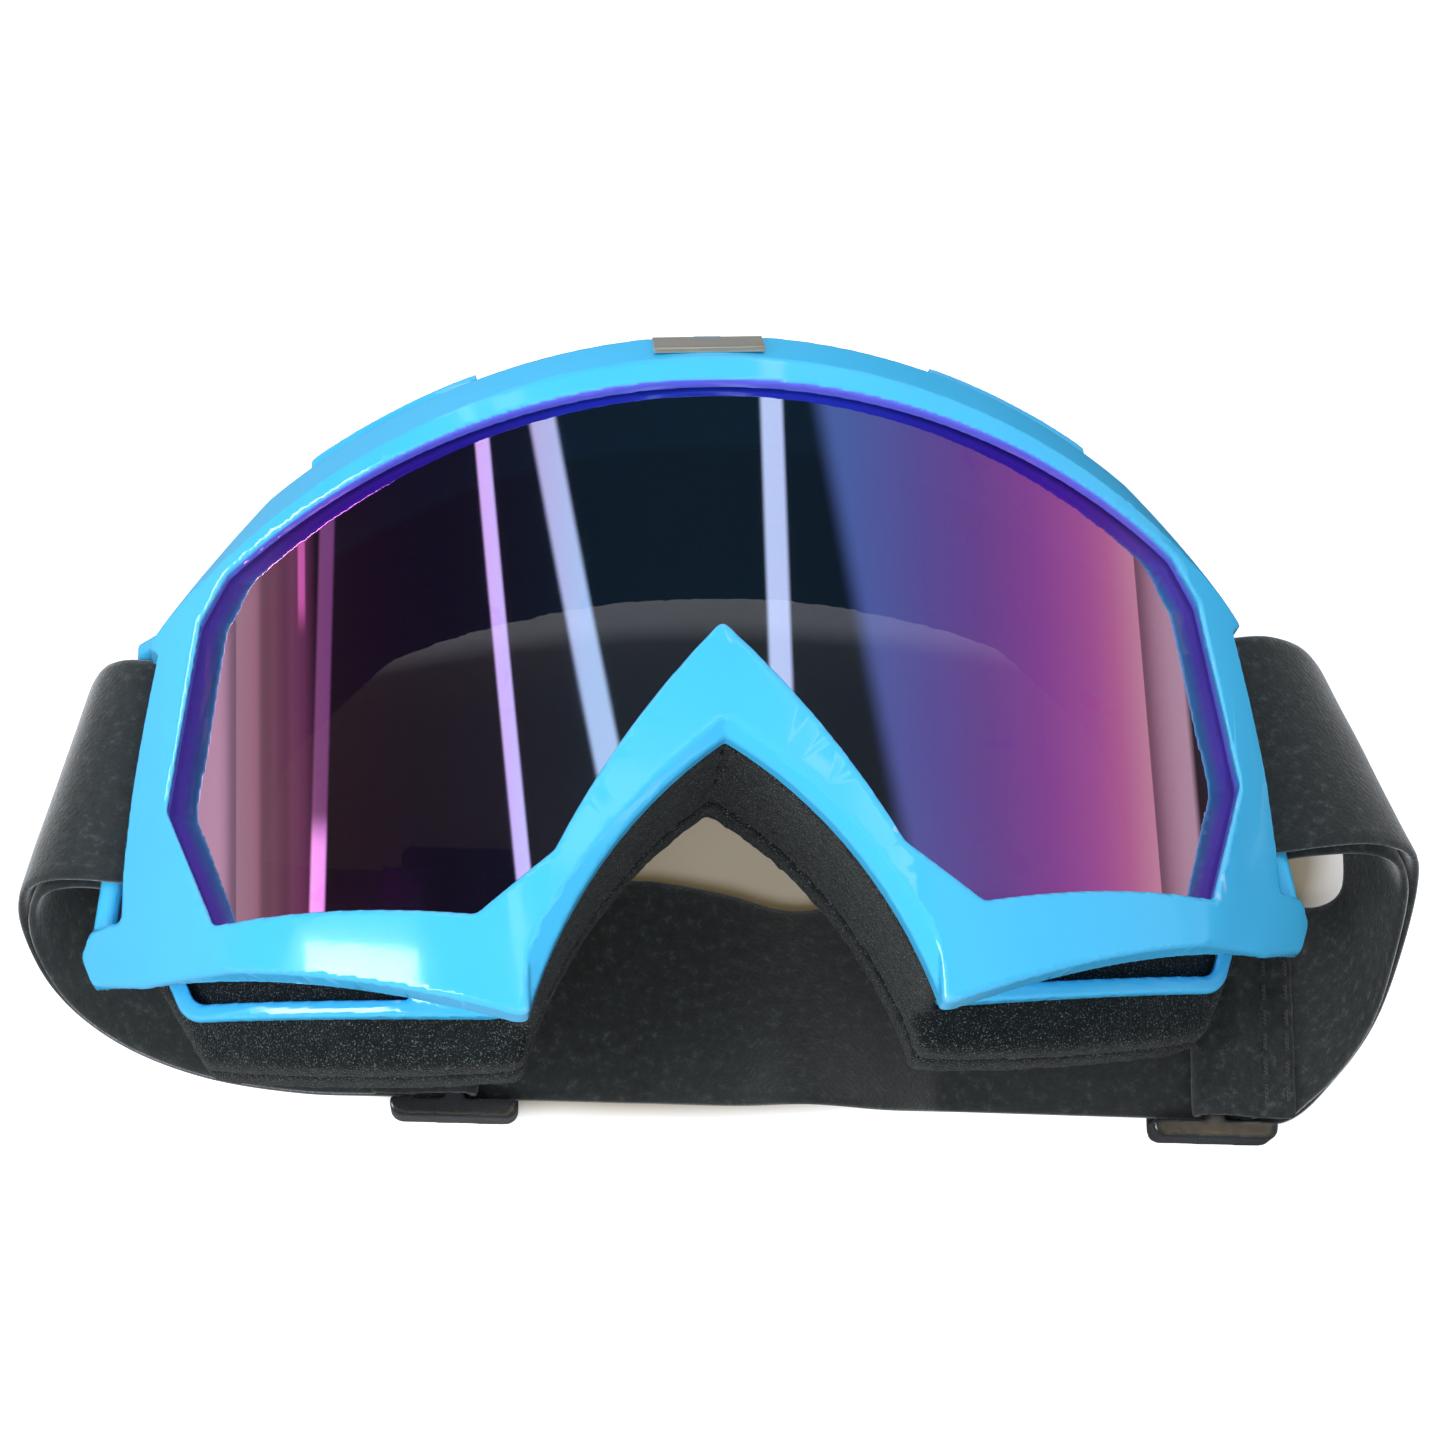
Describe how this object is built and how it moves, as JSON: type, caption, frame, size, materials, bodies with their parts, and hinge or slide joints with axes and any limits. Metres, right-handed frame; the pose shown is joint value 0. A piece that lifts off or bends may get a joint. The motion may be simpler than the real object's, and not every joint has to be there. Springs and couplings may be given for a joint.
{
  "type": "motorcycle goggles",
  "caption": "Goggles with a bent one-piece frame, a mirrored curved lens, layered face foam and an elastic strap folded underneath with two sliders.",
  "frame": {"origin": "on the surface that the goggles lie on, straight below the middle of the lens, in the plane of the lowest points of the face foam", "axes": "+Z out through the middle of the lens, X across the face with the wearer's temples at both ends, +Y towards the forehead"},
  "size_m": [0.2197, 0.1097, 0.08],
  "materials": {
    "frame": "glossy moulded thermoplastic, bright blue",
    "lens": "mirror coated smoke polycarbonate",
    "badge": "satin silver",
    "vent_foam": "open cell foam",
    "face_foam": "open cell foam, charcoal",
    "fleece": "brushed fleece",
    "strap": "woven elastic, heathered black",
    "slider": "glossy moulded nylon",
    "thread": "sewing thread"
  },
  "bodies": {
    "goggles": {"frame": "frame", "lens": "lens", "badge_plate": "badge", "top_vent_filter_left": "vent_foam", "top_vent_filter_right": "vent_foam", "bottom_vent_filter_left": "vent_foam", "bottom_vent_filter_right": "vent_foam", "foam_base": "face_foam", "foam_face": "face_foam", "face_fleece": "fleece", "strap": "strap"},
    "slider_body_left": {"slider_left": "slider", "strap_hem_left": "strap", "hem_stitches_left": "thread"},
    "slider_body_right": {"slider_right": "slider", "strap_hem_right": "strap", "hem_stitches_right": "thread"}
  },
  "joints": [
    {"name": "strap_adjust_left", "type": "slide", "parent": "goggles", "child": "slider_body_left", "axis": [-0.9982, 0.0599, 0], "range_m": [-0.018, 0.003]},
    {"name": "strap_adjust_right", "type": "slide", "parent": "goggles", "child": "slider_body_right", "axis": [0.9982, -0.0599, 0], "range_m": [-0.028, 0.003]}
  ]
}
